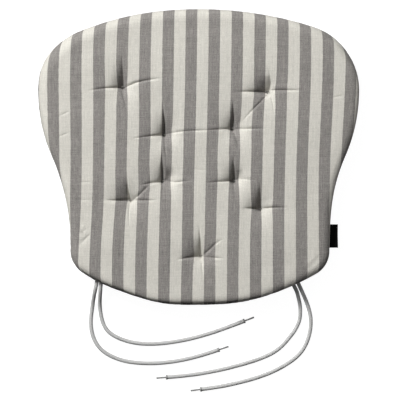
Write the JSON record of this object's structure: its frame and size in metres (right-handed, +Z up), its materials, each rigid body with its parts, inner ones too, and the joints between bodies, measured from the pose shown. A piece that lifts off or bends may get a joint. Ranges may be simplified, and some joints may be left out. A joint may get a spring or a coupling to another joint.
{
  "type": "chair seat pad",
  "caption": "Waisted, tufted chair seat pad: striped woven cover over a foam core, with cord ties at the rear corners and a blank side label.",
  "frame": {"origin": "centre of the pad's outline on its underside, on the surface that it rests on", "axes": "+Z up out of the tufted face; +Y towards the wide front edge; +X to the sitter's right, the side with the label; the ties leave the rear corners towards -Y"},
  "size_m": [0.411, 0.4928, 0.035],
  "materials": {
    "cover_top": "plain woven cotton blend, cream and warm grey stripes of equal width, matt",
    "cover_underside": "the same striped cloth as the top, matt",
    "foam": "open-cell cushion foam, cream, matt",
    "sewing_thread": "twisted polyester thread, slight sheen",
    "tufting_twine": "waxed grey twine",
    "tie_cord": "smooth braided sleeve, light grey, soft sheen",
    "melted_end": "heat-cut sleeve end, fused and rounded",
    "cord_core": "twisted core yarn, matt",
    "label_ribbon": "black woven ribbon, fine cross rib, slight sheen"
  },
  "bodies": {
    "root": {"top_panel": "cover_top", "bottom_panel": "cover_underside", "foam_core": "foam", "seam_thread": "sewing_thread", "closing_stitch": "sewing_thread", "tuft_thread_1": "tufting_twine", "tuft_thread_2": "tufting_twine", "tuft_thread_3": "tufting_twine", "tuft_thread_4": "tufting_twine", "tuft_thread_5": "tufting_twine", "tuft_thread_6": "tufting_twine", "tuft_thread_7": "tufting_twine", "tuft_thread_8": "tufting_twine", "tuft_thread_9": "tufting_twine", "tie_cord_left_outer": "tie_cord", "tie_cord_left_inner": "tie_cord", "tie_cord_right_inner": "tie_cord", "tie_cord_right_outer": "tie_cord", "cord_collar_left_outer": "melted_end", "cord_collar_left_inner": "melted_end", "cord_collar_right_inner": "melted_end", "cord_collar_right_outer": "melted_end", "cord_tip_left_outer": "cord_core", "cord_tip_left_inner": "cord_core", "cord_tip_right_inner": "cord_core", "cord_tip_right_outer": "cord_core", "bar_tack_left": "sewing_thread", "bar_tack_right": "sewing_thread", "side_label": "label_ribbon"}
  },
  "joints": []
}
